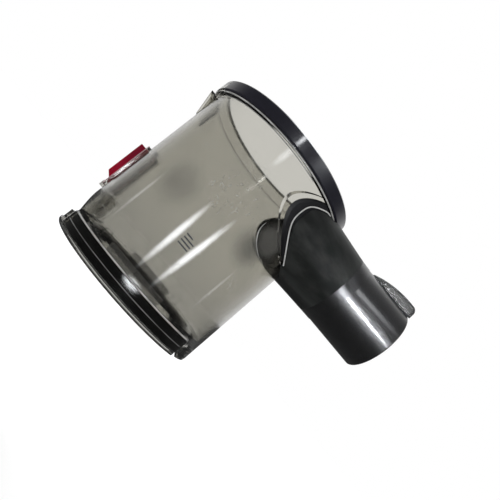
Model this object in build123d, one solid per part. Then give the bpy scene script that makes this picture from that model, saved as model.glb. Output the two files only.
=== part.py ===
from build123d import *
import os
from math import cos, radians, sin

# Dust bin of a hand-held cyclone cleaner: a clear cylinder that stands on its hinged base lid.
# Origin on the cylinder's axis at the base plane, +Z to the mouth, +X to the inlet. Millimetres.

# Clear cylinder
bin_radius = 52.0
wall = 2.2
bin_height = 118.6
flange_reach = 2.4
flange_height = 1.4

# Mouth rim: a dark half ring and the clear half that completes it, with a seal in both
ring_wall = 3.3
ring_seat = 5.8
ring_height = 7.8
ring_chamfer = 0.7
ring_turn = 28.0
groove_width = 1.4
groove_depth = 1.1
seal_proud = 0.4

# Bell at the foot of the cylinder, over the lid's seal
bell_flare = 1.5
bell_wall = 1.9
bell_over = 1.0
bell_slope = 2.0

# Base lid
lid_thick = 2.4
lid_edge_round = 1.6
recess_margin = 10.5
recess_width = 10.0
recess_depth = 0.8
upstand_height = 7.0
upstand_wall = 1.8

# Base seal with its two bands and its wiper lips
seal_height = 8.6
seal_width = 4.0
band_height = 3.9
band_groove = 0.7
lip_height = 5.4
lip_wall = 1.5
lip_from = 68.0
lip_to = 112.0

# Flats at the front and the back of the foot, where the hinge and the catch are
flat_depth = 7.0
hinge_inset = 4.5
hinge_rise = 1.8
lug_bottom = 0.4
tongue_width = 14.0
knuckle_radius = 2.6
pin_radius = 1.0
pin_length = 28.0

# Catch on the lid, in the scoop at the back of the cylinder
scoop_top = 29.0
scoop_knee = 13.0
catch_width = 16.0
catch_inset = 1.2
catch_wall = 1.7
catch_height = 5.6
catch_nose = 2.0
arm_width = 14.0
ledge_reach = 1.3
ledge_height = 1.7

# Runner rails in the scoop and ramp ribs under the mouth ring
rail_y = 6.9
rail_wall = 1.8
rail_inset = 2.4
rail_lift = 2.0
ramp_width = 18.0
ramp_wall = 1.8
ramp_height = 16.0
ramp_proud = 4.6

# Release button in its pocket at the back
button_width = 16.0
button_lift = 3.0
button_height = 29.0
button_proud = 5.4
button_wall = 1.4
button_travel = 1.5
nose_length = 5.4
nose_drop = 3.4
nose_step = 2.0
foot_width = 10.0
foot_reach = 1.1
foot_thick = 0.9
pocket_depth = 3.4
pocket_wall = 1.6
pocket_lip = 1.0
nub_height = 3.6
nub_proud = 2.5
spring_radius = 2.6
spring_wire = 0.35
spring_turns = 4.5

# Inlet: straight socket for the wand, and the duct that flares onto the cylinder
inlet_drop = 23.4
socket_bore = 20.2
socket_wall = 3.15
socket_length = 36.8
duct_length = 32.0
spigot_wall = 1.8
spigot_length = 10.0
mouth_round = 0.9
duct_step = 0.25
duct_wall = 2.4
flare_depth = 36.0
flare_half_width = 50.0
flare_below = 24.6
flare_above = 19.1
flare_low_radius = 22.5
flare_high_radius = 13.5
flare_low_turn = 58.0
flare_side_turn = 8.0
flare_high_turn = 60.0
window_margin = 1.8

# Collar under the duct's edge, on a clear pad of the wall
pad_height = 0.6
pad_margin = 1.4
collar_half_width = 47.6
collar_radius = 20.0
collar_rise = 0.8
collar_thick = 1.0
gasket_thick = 0.4
gasket_inset = 0.6

# Electric connector on the socket
cover_width = 15.0
cover_wall = 1.4
cover_setback = 5.0
cover_over = 2.2
cover_rise = 6.2
cover_round = 1.2
cover_flat = 6.0
cover_nose = 3.6
block_length = 16.4
block_width = 11.0
contact_pitch = 5.6
contact_radius = 1.2
contact_bore = 0.7
contact_depth = 9.0
contact_floor = 1.0
screw_radius = 1.1
screw_head = 2.2
screw_head_height = 1.2
screw_setback = 6.0
screw_pitch = 7.0

# Small arches moulded on the wall above the bell
arch_azimuths = (62.0, 116.5)
arch_radius = 3.2
arch_line = 0.7
arch_height = 0.5
arch_lift = 1.2
arch_leg = 3.4

# Clearances
fit = 0.1
press = 0.02
running = 0.05
clear = 0.3
seal_clear = 0.6
ring_clear = 0.4

# Radii and distances from the axis
inner_radius = bin_radius - wall
flange_radius = bin_radius + flange_reach
ring_radius = bin_radius + ring_wall
groove_radius = (inner_radius + ring_radius) / 2
bell_radius = bin_radius + bell_flare
bell_inner = bell_radius - bell_wall
seal_radius = bell_inner - seal_clear
recess_outer = bell_radius - recess_margin
flat_x = inner_radius - flat_depth
back_x = flat_x + wall
seal_flat = flat_x - seal_clear
hinge_x = bin_radius - hinge_inset
lug_round = hinge_x - flat_x
lug_zone_x = flat_x - clear
catch_x = bell_radius - catch_inset
rail_radius = bin_radius - rail_inset
ramp_reach = bin_radius + ramp_proud
button_face = bin_radius + button_proud
pocket_floor = bin_radius - pocket_depth
nub_reach = bin_radius + nub_proud
pad_face = bin_radius + pad_height
collar_face = pad_face + collar_thick
duct_face = collar_face + gasket_thick
socket_radius = socket_bore + socket_wall
spigot_radius = socket_bore + spigot_wall
socket_start = bin_radius + duct_length
socket_mouth = socket_start + socket_length
flare_x = bin_radius - flare_depth
cover_start = socket_start + cover_setback
cover_end = socket_mouth + cover_over
block_start = cover_end - block_length - fit
screw_x = (cover_start + screw_setback, cover_start + screw_setback + screw_pitch)

# Heights above the base
ring_bottom = bin_height - ring_seat
ring_top = ring_bottom + ring_height
flange_bottom = ring_bottom - flange_height
bell_bottom = lid_thick + clear
seal_top = lid_thick + seal_height
bell_top = seal_top + bell_over
band_groove_z = lid_thick + band_height
hinge_z = lid_thick + hinge_rise
hinge_top = bell_top + bell_slope
catch_top = lid_thick + catch_height
rail_bottom = catch_top + rail_lift
ramp_bottom = ring_bottom - clear - ramp_height
button_bottom = scoop_top + button_lift
button_top = button_bottom + button_height
inlet_z = bin_height - inlet_drop
socket_top = inlet_z + socket_radius
flare_low_z = inlet_z - flare_below + flare_low_radius
flare_high_z = inlet_z + flare_above - flare_high_radius
collar_z = inlet_z + collar_rise
window_low = collar_z - collar_radius + window_margin
window_radius = (flange_bottom - window_margin - window_low) / 2
window_z = window_low + window_radius
contact_z = socket_top + cover_rise / 2 - fit
arch_foot_z = bell_top + arch_lift
arch_crown_z = arch_foot_z + arch_leg
FAR = 200.0
UP = (Align.CENTER, Align.CENTER, Align.MIN)


def disc(radius, z0, z1):
    """Solid cylinder on the bin's axis."""
    return Pos(0, 0, z0) * Cylinder(radius, z1 - z0, align=UP)


def tube(outer, inner, z0, z1):
    """Ring on the bin's axis."""
    return disc(outer, z0, z1) - disc(inner, z0, z1)


def block(x0, x1, width, z0, z1):
    """Box across the plane of symmetry."""
    return Pos((x0 + x1) / 2, 0, (z0 + z1) / 2) * Box(x1 - x0, width, z1 - z0)


def rod_x(radius, x0, x1, y, z):
    """Cylinder along X."""
    return Pos(x0, y, z) * Rot(0, 90, 0) * Cylinder(radius, x1 - x0, align=UP)


def rod_y(radius, length, x, z):
    """Cylinder along Y, centred on the plane of symmetry."""
    return Pos(x, 0, z) * Rot(90, 0, 0) * Cylinder(radius, length)


def side_prism(points, width):
    """Prism across the plane of symmetry with an outline of (x, z) points."""
    outline = Plane.XZ * make_face(Polyline(*points, close=True))
    return extrude(outline, width / 2, both=True)


def turned(points):
    """Solid of revolution about Z from (radius, z) points."""
    return revolve(Plane.XZ * make_face(Polyline(*points, close=True)), Axis.Z)


def flatted(radius, flat, z0, z1):
    """Disc with one flat at the hinge and one at the catch."""
    return disc(radius, z0, z1) & block(-flat, flat, FAR, z0, z1)


def flatted_ring(radius, flat, width, z0, z1):
    """Ring of even width with the same two flats."""
    return flatted(radius, flat, z0, z1) - flatted(radius - width, flat - width, z0, z1)


def sector(azimuth_from, azimuth_to, z0, z1):
    """Wedge about the axis between two azimuths, on both sides of the plane of symmetry."""
    middle = (azimuth_from + azimuth_to) / 2
    corners = [(0, 0)]
    for angle in (azimuth_from, middle, azimuth_to):
        corners.append((FAR * cos(radians(angle)), FAR * sin(radians(angle))))
    wedge = Pos(0, 0, z0) * extrude(make_face(Polyline(*corners, close=True)), z1 - z0)
    return wedge + mirror(wedge, Plane.XZ)


def section_plane(x):
    """Plane across the inlet, with Y to the right and Z up."""
    return Plane(origin=(x, 0, 0), x_dir=(0, 1, 0), z_dir=(1, 0, 0))


def socket_outline(grow):
    """Round outline at the socket, in eight arcs that match the eight edges of the flare."""
    low, side, high = flare_low_turn, flare_side_turn, flare_high_turn
    breaks = (-low, 0, side, high, 180 - high, 180 - side, 180, 180 + low, 360 - low)
    radius = socket_radius + duct_step + grow
    arcs = []
    for start, end in zip(breaks, breaks[1:]):
        arcs.append(CenterArc((0, inlet_z), radius, start, end - start))
    return section_plane(socket_start) * make_face(arcs)


def flare_outline(grow):
    """Rounded outline of the flare inside the cylinder, with wider corners below than above."""
    low_y = flare_half_width - flare_low_radius
    high_y = flare_half_width - flare_high_radius
    low = flare_low_radius + grow
    high = flare_high_radius + grow
    corners = (CenterArc((low_y, flare_low_z), low, -90, 90),
               CenterArc((high_y, flare_high_z), high, 0, 90),
               CenterArc((-high_y, flare_high_z), high, 90, 90),
               CenterArc((-low_y, flare_low_z), low, 180, 90))
    edges = []
    for corner, following in zip(corners, corners[1:] + corners[:1]):
        edges += [corner, Line(corner @ 1, following @ 0)]
    return section_plane(flare_x) * make_face(edges)


def flare(grow):
    """Flared body of the duct from the socket into the cylinder, grown by a margin."""
    return loft([socket_outline(grow), flare_outline(grow)], ruled=True)


def collar_zone(grow, inner, outer):
    """Part of a ring on the cylinder inside the collar's outline, which has round ends."""
    outline = SlotCenterToCenter(2 * (collar_half_width - collar_radius), 2 * (collar_radius + grow))
    prism = extrude(section_plane(0) * Pos(0, collar_z) * outline, FAR)
    return prism & tube(outer, inner, 0, flange_bottom)


def rim():
    """Whole rim of the mouth, with the groove of its seal."""
    edge = ring_radius - ring_chamfer
    body = turned([(inner_radius, ring_bottom), (edge, ring_bottom),
                   (ring_radius, ring_bottom + ring_chamfer), (ring_radius, ring_top - ring_chamfer),
                   (edge, ring_top), (inner_radius, ring_top)])
    return body - tube(groove_radius + groove_width / 2, groove_radius - groove_width / 2,
                       ring_top - groove_depth, ring_top)


def dark_side(gap):
    """Space on the side of the axis where the rim is dark, set back by a gap."""
    return Rot(0, 0, ring_turn) * Pos(0, -FAR / 2 - gap, ring_bottom) * Box(2 * FAR, FAR, FAR, align=UP)


def arch(azimuth):
    """Small raised arch on the outside of the wall."""
    turn = radians(azimuth)
    face = Plane(origin=(0, 0, 0), x_dir=(-sin(turn), cos(turn), 0), z_dir=(cos(turn), sin(turn), 0))
    inside = arch_radius - arch_line
    outer = Pos(0, arch_crown_z) * Circle(arch_radius)
    outer += Pos(0, arch_crown_z - arch_leg / 2) * Rectangle(2 * arch_radius, arch_leg)
    inner = Pos(0, arch_crown_z) * Circle(inside)
    inner += Pos(0, arch_crown_z - arch_leg / 2) * Rectangle(2 * inside, arch_leg)
    skin = tube(bin_radius + arch_height, bin_radius - fit, 0, scoop_top)
    return extrude(face * (outer - inner), FAR) & skin


def hinge_lug():
    """Clear lug that closes the front of the foot and holds the hinge pin."""
    upper = disc(bin_radius, hinge_z, hinge_top) & block(flat_x, FAR, FAR, hinge_z, hinge_top)
    lower = disc(bin_radius, lug_bottom, hinge_z) & rod_y(lug_round, FAR, hinge_x, hinge_z)
    return upper + lower


def hinge_slot():
    """Room in the lug for the lid's tongue at every angle, with the hole of the pin."""
    width = tongue_width + 2 * clear
    slot = block(flat_x - clear, FAR, width, -wall, hinge_z)
    slot += rod_y(hinge_z + clear, width, hinge_x, hinge_z) & block(hinge_x, FAR, width, 0, FAR)
    slot += rod_y(knuckle_radius + clear, width, hinge_x, hinge_z)
    return slot + rod_y(pin_radius + press, pin_length + 2 * press, hinge_x, hinge_z)


def scoop_outline(depth):
    """Side outline of the scoop at the back, set in by a depth."""
    return [(-FAR, -wall), (-back_x + depth, -wall), (-back_x + depth, scoop_knee + depth / 2),
            (-bin_radius - clear + depth, scoop_top + depth / 2), (-FAR, scoop_top + depth / 2)]


def button_outline(inset):
    """Side outline of the button, from its foot to its pressed face, set in by a wall."""
    face = -button_face + inset
    low = button_bottom + inset
    root = -pocket_floor - button_travel - fit
    return [(root, low), (root - nose_step, low), (face + nose_drop, low + nose_length / 2),
            (face, low + nose_length), (face, button_top - inset), (root, button_top - inset)]


def bin_shell():
    """Clear cylinder with its bell, hinge lug, catch scoop, button pocket and inlet collar."""
    body = turned([(bell_radius, bell_bottom), (bell_radius, bell_top - bell_slope / 2),
                   (bin_radius, bell_top), (bin_radius, flange_bottom),
                   (flange_radius, flange_bottom + flange_height / 2),
                   (flange_radius, ring_bottom), (bin_radius, ring_bottom), (bin_radius, bin_height),
                   (inner_radius, bin_height), (inner_radius, bell_top + bell_slope),
                   (bell_inner, bell_top), (bell_inner, bell_bottom)])
    # front: plain wall and hinge lug in place of the bell
    front = tube(bell_radius + clear, bin_radius, 0, hinge_top) & block(flat_x, FAR, FAR, 0, hinge_top)
    body = body - front - block(flat_x, FAR, FAR, 0, hinge_z)
    body = body + hinge_lug() - hinge_slot()
    # back: the wall steps in to a scoop for the catch and the runner
    scoop_back = disc(bin_radius, bell_bottom, scoop_top + wall) & side_prism(scoop_outline(wall), FAR)
    body += scoop_back
    # pocket of the release button, with its floor inside the cylinder
    pocket_width = button_width + 2 * clear
    low = button_bottom - clear
    high = button_top + clear
    undercut = foot_reach + clear
    shell = disc(bin_radius, 0, ring_bottom)
    housing = block(-bin_radius, -pocket_floor + pocket_wall, pocket_width + 2 * pocket_wall,
                    low - undercut - pocket_wall, high + undercut + pocket_wall)
    body += shell & housing
    lip_width = pocket_width + 2 * pocket_wall
    body += block(-bin_radius - pocket_lip, -pocket_floor, lip_width, low - pocket_wall, high + pocket_wall)
    body -= side_prism(scoop_outline(0), FAR)
    nub = block(-nub_reach, -inner_radius, foot_width + 2 * wall, low - nub_height, low)
    body += nub
    body -= block(-FAR, -pocket_floor, pocket_width, low, high)
    foot_room = foot_width + 2 * clear
    foot_face = pocket_floor + button_travel + foot_thick + 2 * fit
    body -= block(-foot_face, -pocket_floor, foot_room, low - undercut, high + undercut)
    # runner rails in the scoop, ramp ribs under the mouth ring, ledge for the catch
    rails = disc(rail_radius, rail_bottom, scoop_top) & block(-FAR, -flat_x, 2 * rail_y + rail_wall, 0, FAR)
    rails -= block(-FAR, 0, 2 * rail_y - rail_wall, 0, FAR)
    body += rails
    ramp_top = ring_bottom - clear
    ramp = side_prism([(-inner_radius, ramp_bottom), (-bin_radius, ramp_bottom), (-ramp_reach, ramp_top),
                       (-inner_radius, ramp_top)], ramp_width)
    hollow = block(-FAR, -bin_radius, ramp_width - 2 * ramp_wall, 0, flange_bottom)
    web = block(-FAR, 0, ramp_wall, 0, FAR)
    body += ramp - (hollow - web)
    ledge_z = catch_top - catch_nose - clear
    body += block(-back_x - ledge_reach, -flat_x, arm_width, ledge_z - ledge_height, ledge_z)
    # clear half of the rim, pad and window of the inlet, arches above the bell
    body += rim() - dark_side(0)
    body += collar_zone(pad_margin, bin_radius - fit, pad_face)
    body -= rod_x(window_radius, 0, FAR, 0, window_z)
    for azimuth in arch_azimuths:
        body += arch(azimuth)
        body += arch(-azimuth)
    return body


def mouth_ring():
    """Dark half ring of the mouth, seated on the flange and over the edge of the wall."""
    return (rim() - disc(bin_radius + fit, ring_bottom, bin_height + fit)) & dark_side(fit)


def mouth_seal():
    """Rubber ring in the groove of the mouth ring."""
    half = groove_width / 2 - running
    low = ring_top - groove_depth
    high = ring_top + seal_proud
    return turned([(groove_radius - half, low), (groove_radius + half, low),
                   (groove_radius + half, ring_top), (groove_radius + half / 2, high),
                   (groove_radius - half / 2, high), (groove_radius - half, ring_top)])


def base_lid():
    """Clear lid with its seal upstand, hinge tongue and catch."""
    plate = fillet(disc(bell_radius, 0, lid_thick).edges().group_by(Axis.Z)[0], lid_edge_round)
    plate &= block(-catch_x, lug_zone_x, FAR, 0, lid_thick)
    recess = tube(recess_outer, recess_outer - recess_width, 0, recess_depth)
    plate -= recess & block(-seal_flat + upstand_wall, seal_flat - upstand_wall, FAR, 0, lid_thick)
    in_seal = seal_width + running
    upstand = flatted_ring(seal_radius - in_seal, seal_flat - in_seal, upstand_wall, lid_thick,
                           lid_thick + upstand_height)
    tongue = block(lug_zone_x - wall, hinge_x, tongue_width, 0, hinge_z)
    tongue -= block(0, lug_zone_x, FAR, lid_thick, hinge_z)
    tongue += rod_y(knuckle_radius, tongue_width, hinge_x, hinge_z)
    post = block(-catch_x, -catch_x + catch_wall, catch_width, 0, catch_top)
    arm_x = -back_x - ledge_reach - clear
    arm = block(-catch_x, arm_x, arm_width, catch_top - catch_nose, catch_top)
    lid = plate + upstand + tongue + post + arm
    return lid - rod_y(pin_radius + running, FAR, hinge_x, hinge_z)


def base_seal():
    """Black seal round the lid's upstand: two bands and a wiper lip on each side."""
    seal = flatted_ring(seal_radius, seal_flat, seal_width, lid_thick, seal_top)
    groove = flatted_ring(seal_radius, seal_flat, band_groove, band_groove_z, band_groove_z + band_groove)
    lip_radius = inner_radius - seal_clear - lip_wall / 3
    lip = tube(lip_radius, lip_radius - lip_wall, seal_top, seal_top + lip_height)
    return seal - groove + (lip & sector(lip_from, lip_to, seal_top, seal_top + lip_height))


def hinge_pin():
    """Steel pin of the lid's hinge."""
    return rod_y(pin_radius, pin_length, hinge_x, hinge_z)


def release_button():
    """Hollow button with a ramped nose and two feet that hold it in its pocket."""
    cap = side_prism(button_outline(0), button_width)
    face_edges = cap.edges().filter_by_position(Axis.X, -button_face - fit, -button_face + fit)
    cap = fillet(face_edges, button_wall / 2)
    cap -= side_prism(button_outline(button_wall), button_width - 2 * button_wall)
    root = -pocket_floor - button_travel - fit
    cap -= block(root - fit, root + fit, button_width - 2 * button_wall, button_bottom + button_wall,
                 button_top - button_wall)
    for low, high in ((button_bottom - foot_reach, button_bottom + button_wall),
                      (button_top - button_wall, button_top + foot_reach)):
        cap += block(root - foot_thick, root, foot_width, low, high)
    return cap


def button_spring():
    """Coil spring between the pocket's floor and the button."""
    middle = (button_bottom + button_top) / 2
    length = button_face - button_wall - pocket_floor - 2 * spring_wire - 2 * running
    start = (-pocket_floor - spring_wire - running, 0, middle)
    coil = Helix(length / spring_turns, length, spring_radius, center=start, direction=(-1, 0, 0))
    section = Plane(origin=coil @ 0, z_dir=coil % 0) * Circle(spring_wire)
    return sweep(section, path=coil, is_frenet=True)


def inlet_duct():
    """Hollow flared duct that carries the socket and hugs the cylinder."""
    body = flare(0) - flare(-duct_wall)
    body -= rod_x(spigot_radius + fit, socket_start - spigot_length, FAR, 0, inlet_z)
    # the sides rest on the collar, and below it the edge comes down to the wall
    under_width = 2 * (collar_half_width - collar_radius)
    under = block(0, FAR, under_width, 0, collar_z - collar_radius - fit)
    body -= disc(duct_face, 0, FAR) - under
    body -= disc(bin_radius + fit, 0, FAR) + collar_zone(pad_margin + fit, bin_radius, pad_face + fit)
    return body - disc(ring_radius + ring_clear, flange_bottom - clear, FAR)


def inlet_collar():
    """Dark collar round the window, bonded on the pad of the wall."""
    return collar_zone(0, pad_face, collar_face) - rod_x(window_radius, 0, FAR, 0, window_z)


def inlet_gasket():
    """Gasket strips between the duct's two side edges and the collar."""
    strip = flare(-gasket_inset) - flare(-duct_wall)
    return strip & collar_zone(-gasket_inset, collar_face, duct_face)


def inlet_socket():
    """Straight socket for the wand, with its spigot in the duct."""
    outer = rod_x(socket_radius, socket_start, socket_mouth, 0, inlet_z)
    outer = fillet(outer.edges().sort_by(Axis.X)[-1], mouth_round)
    outer += rod_x(spigot_radius, socket_start - spigot_length, socket_start, 0, inlet_z)
    outer -= rod_x(socket_bore, 0, FAR, 0, inlet_z)
    head_room = screw_head + fit
    for x in screw_x:
        outer -= Pos(x, 0, inlet_z) * Cylinder(screw_radius + fit, FAR, align=UP)
        outer -= Pos(x, 0, inlet_z) * Cylinder(head_room, socket_bore + screw_head_height + fit, align=UP)
    return outer


def cover_outline(inset):
    """Side outline of the connector cover: a long rise to a flat top and a round front corner."""
    top = socket_top + cover_rise - inset
    start = cover_start + 2 * inset
    end = cover_end - inset
    sole = inlet_z + socket_bore
    rise = TangentArc((end - cover_flat, top), (start, socket_top), tangent=(-1, 0))
    corner = CenterArc((end - cover_nose, top - cover_nose), cover_nose, 0, 90)
    flat_top = Line(rise @ 0, corner @ 1)
    front = Line(corner @ 0, (end, sole))
    under = Polyline((end, sole), (start, sole), (start, socket_top))
    return Plane.XZ * make_face([rise, flat_top, corner, front, *under.edges()])


def connector_cover():
    """Fin-shaped cover over the electric contacts on top of the socket."""
    body = extrude(cover_outline(0), cover_width / 2, both=True)
    sides = body.edges().filter_by(GeomType.CIRCLE)
    body = fillet(sides, cover_round)
    cavity = extrude(cover_outline(cover_wall), cover_width / 2 - cover_wall, both=True)
    keep = socket_top + cover_rise - cover_wall
    for x in screw_x:
        boss = Pos(x, 0, inlet_z) * Cylinder(screw_head, keep - inlet_z, align=UP)
        cavity -= boss
    body -= cavity
    body -= rod_x(socket_radius + fit, 0, FAR, 0, inlet_z)
    for x in screw_x:
        depth = socket_radius + cover_rise / 2 + press
        body -= Pos(x, 0, inlet_z) * Cylinder(screw_radius + press, depth, align=UP)
    door = block(block_start, FAR, block_width + 2 * fit, 0, socket_top + cover_rise - cover_wall - fit)
    return body - door


def contact_block():
    """Insulating block with two contact holes that face the wand."""
    top = socket_top + cover_rise - cover_wall - 2 * fit
    body = block(block_start + fit, cover_end - fit, block_width, inlet_z, top)
    body -= rod_x(socket_radius + fit, 0, FAR, 0, inlet_z)
    for y in (-contact_pitch / 2, contact_pitch / 2):
        body -= rod_x(contact_radius + press, cover_end - contact_depth, FAR, y, contact_z)
    return body


def contact_pins():
    """Two hollow contacts in the block."""
    pins = []
    for y in (-contact_pitch / 2, contact_pitch / 2):
        pin = rod_x(contact_radius, cover_end - contact_depth, cover_end - contact_floor, y, contact_z)
        pin -= rod_x(contact_bore, cover_end - contact_depth + contact_floor, cover_end, y, contact_z)
        pins.append(pin)
    return pins[0] + pins[1]


def cover_screws():
    """Two screws from inside the socket into the cover's bosses, heads below the bore."""
    screws = []
    for x in screw_x:
        head = Cylinder(screw_head, screw_head_height, align=UP)
        shank = Pos(0, 0, screw_head_height) * Cylinder(
            screw_radius, socket_radius + cover_rise / 2 - socket_bore - screw_head_height, align=UP)
        screws.append(Pos(x, 0, inlet_z + socket_bore) * (head + shank))
    return screws[0] + screws[1]


pieces = (bin_shell, mouth_ring, mouth_seal, base_lid, base_seal, hinge_pin, release_button, button_spring,
          inlet_duct, inlet_collar, inlet_gasket, inlet_socket, connector_cover, contact_block,
          contact_pins, cover_screws)

os.makedirs("parts", exist_ok=True)
for piece in pieces:
    export_step(piece(), os.path.join("parts", piece.__name__ + ".step"))
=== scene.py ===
import math

import bpy
import numpy as np
from mathutils import Matrix, Vector


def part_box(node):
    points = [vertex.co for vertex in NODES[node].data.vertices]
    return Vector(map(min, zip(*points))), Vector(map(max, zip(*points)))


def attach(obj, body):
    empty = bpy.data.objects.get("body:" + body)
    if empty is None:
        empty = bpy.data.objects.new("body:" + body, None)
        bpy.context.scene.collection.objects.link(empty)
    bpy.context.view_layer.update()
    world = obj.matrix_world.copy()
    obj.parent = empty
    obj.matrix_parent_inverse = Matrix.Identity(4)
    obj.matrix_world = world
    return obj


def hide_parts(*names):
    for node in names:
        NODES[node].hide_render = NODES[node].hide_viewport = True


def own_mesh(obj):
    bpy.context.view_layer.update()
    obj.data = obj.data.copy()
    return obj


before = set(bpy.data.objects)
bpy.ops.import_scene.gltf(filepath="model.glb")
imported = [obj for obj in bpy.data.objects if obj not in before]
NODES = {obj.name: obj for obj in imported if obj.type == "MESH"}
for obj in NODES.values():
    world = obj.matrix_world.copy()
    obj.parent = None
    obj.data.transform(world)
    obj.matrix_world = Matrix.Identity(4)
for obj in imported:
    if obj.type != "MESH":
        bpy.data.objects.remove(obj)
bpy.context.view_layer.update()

WHOLE_TURN = 2 * math.pi

# Solids that the new pieces sit on, in metres
WALL_RADIUS = 0.052
COVER_LOW, COVER_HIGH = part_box("connector_cover")
SOCKET_LOW, SOCKET_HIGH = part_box("inlet_socket")
SOCKET_RADIUS = (SOCKET_HIGH.z - SOCKET_LOW.z) / 2
SOCKET_Z = (SOCKET_HIGH.z + SOCKET_LOW.z) / 2

# Sockets of a Mix node that mixes colours, by number
MIX_SHARE = 0
MIX_FIRST = 6
MIX_SECOND = 7
MIX_COLOUR = 2


class Shade:
    """An output socket in a node tree. Arithmetic on it adds Math nodes; node() adds any other node."""

    def __init__(self, tree, socket=None):
        self.tree = tree
        self.socket = socket

    def feed(self, target, value):
        """Links another Shade to a socket, or sets the socket's own value."""
        if isinstance(value, Shade):
            self.tree.links.new(value.socket, target)
        else:
            target.default_value = value

    def node(self, kind, inputs=None, out=0, **settings):
        """Adds a node: its settings first, then the values or links of its sockets."""
        made = self.tree.nodes.new(kind)
        for name, value in settings.items():
            setattr(made, name, value)
        for name, value in (inputs or {}).items():
            self.feed(made.inputs[name], value)
        return Shade(self.tree, made.outputs[out] if made.outputs else None)

    def math(self, operation, first, second):
        """A Math node on two values."""
        return self.node("ShaderNodeMath", {0: first, 1: second}, operation=operation)

    def __add__(self, other):
        return self.math("ADD", self, other)

    def __radd__(self, other):
        return self.math("ADD", other, self)

    def __sub__(self, other):
        return self.math("SUBTRACT", self, other)

    def __rsub__(self, other):
        return self.math("SUBTRACT", other, self)

    def __mul__(self, other):
        return self.math("MULTIPLY", self, other)

    def __rmul__(self, other):
        return self.math("MULTIPLY", other, self)

    def step(self, low, high):
        """Smooth step of this value from 0 at low to 1 at high."""
        return self.node("ShaderNodeMapRange", {"Value": self, "From Min": low, "From Max": high},
                         interpolation_type="SMOOTHSTEP")

    def mix(self, first, second):
        """Colour between two colours, with this value as the share of the second."""
        return self.node("ShaderNodeMix", {MIX_SHARE: self, MIX_FIRST: first, MIX_SECOND: second},
                         out=MIX_COLOUR, data_type="RGBA")


def rgb(red, green, blue):
    """A colour that isn't see-through."""
    return (red, green, blue, 1.0)


def coats(colour, *layers):
    """A colour with others laid over it in turn, each as far as its share says."""
    for share, over in layers:
        colour = share.mix(colour, over)
    return colour


NOISE_ROUGHNESS = 0.55


class Finish:
    """A material being made: its Object coordinates, its patterns and its shaders. The scale of a pattern
    is a count per metre."""

    def __init__(self, name):
        self.material = bpy.data.materials.new(name)
        self.material.use_nodes = True
        self.material.node_tree.nodes.clear()
        self.root = Shade(self.material.node_tree)
        self.place = self.root.node("ShaderNodeTexCoord", out="Object")

    def stretched(self, scale, turn=(0.0, 0.0, 0.0)):
        """Object coordinates scaled, and turned, on each axis."""
        return self.root.node("ShaderNodeMapping",
                              {"Vector": self.place, "Scale": scale, "Rotation": turn})

    def noise(self, scale, detail, place=None):
        """Soft noise from 0 to 1, with so many finer layers in it."""
        return self.root.node("ShaderNodeTexNoise", {"Vector": place or self.place, "Scale": scale,
                                                     "Detail": detail, "Roughness": NOISE_ROUGHNESS})

    def patches(self, scale, detail, low, high):
        """Noise cut to patches: 0 below one level of it, 1 above another."""
        return self.noise(scale, detail).step(low, high)

    def cells(self, scale, place=None, feature="F1"):
        """Distance to the middle of the nearest cell, or to a cell's edge."""
        return self.root.node("ShaderNodeTexVoronoi", {"Vector": place or self.place, "Scale": scale},
                              feature=feature)

    def scratches(self, scale, turn, width, where):
        """Fine lines: the edges of long stretched cells, as far as a share lets them show."""
        edges = self.cells(1.0, self.stretched(scale, turn), feature="DISTANCE_TO_EDGE")
        return (1.0 - edges.step(0.0, width)) * where

    def axis(self, number):
        """One of the three Object coordinates, in metres."""
        return self.root.node("ShaderNodeSeparateXYZ", {"Vector": self.place}, out=number)

    def outside(self, near, far):
        """0 within a distance of the bin's axis, rising to 1 at a longer one, as the distance's square."""
        x = self.axis(0)
        y = self.axis(1)
        return (x * x + y * y).step(near**2, far**2)

    def spot(self, middle, full, none):
        """1 within a distance of a point, falling to 0 at a longer distance, in metres."""
        away = self.root.node("ShaderNodeVectorMath", {0: self.place, 1: middle}, out="Value",
                              operation="DISTANCE")
        return 1.0 - away.step(full, none)

    def bump(self, height, strength, distance, over=None):
        """Bumped normal, over the surface's own normal or another one."""
        inputs = {"Height": height, "Strength": strength, "Distance": distance}
        if over:
            inputs["Normal"] = over
        return self.root.node("ShaderNodeBump", inputs)

    def grain(self, scale, detail, strength, distance):
        """Normal of a skin that is bumped by a fine noise."""
        return self.bump(self.noise(scale, detail), strength, distance)

    def principled(self, **sockets):
        """A Principled shader, whose sockets are named with underscores."""
        inputs = {name.replace("_", " "): value for name, value in sockets.items()}
        return self.root.node("ShaderNodeBsdfPrincipled", inputs)

    def shown(self, shader):
        """Ends the material with a shader."""
        self.root.node("ShaderNodeOutputMaterial", {"Surface": shader})
        return self.material

    def layered(self, under, over, share):
        """Ends the material with one shader over another, as much as the share says."""
        return self.shown(self.root.node("ShaderNodeMixShader", {0: share, 1: under, 2: over}))

    def done(self, **sockets):
        """Ends the material with one Principled shader."""
        return self.shown(self.principled(**sockets))


# Clear moulding: where its look changes, each from one height, radius or x to another
FOOT_HEIGHTS = (0.010, 0.066)
CLEAN_HEIGHTS = (0.0100, 0.0140)
LID_EDGE_HEIGHTS = (0.0024, 0.0030)
LID_EDGE_RADII = (0.0500, 0.0515)
HINGE_HEIGHTS = (0.012, 0.016)
HINGE_SIDE = (0.040, 0.044)
# Pad round the inlet, where painted shade darkens the clear wall
PAD_RADII = (0.0523, 0.0525)
PAD_SIDE = (0.005, 0.010)
PAD_FOOT = (0.0670, 0.0680)
PAD_TOP = (0.0800, 0.0880)

# Marks on the clear wall, and a painted shadow beside the inlet: the middle, how far it is whole and how far
# it reaches
SMUDGE = ((-0.0211, -0.0475, 0.0585), 0.002, 0.017)
# Painted shadow: the clear wall darkened beside the inlet
PAINTED_SHADOW_BY_INLET = ((0.0270, -0.0444, 0.0655), 0.001, 0.015)
VEIL = ((0.0310, -0.0418, 0.0755), 0.005, 0.0115)
STROKES = ((0.002, -0.052, 0.076), 0.008, 0.021)


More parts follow.
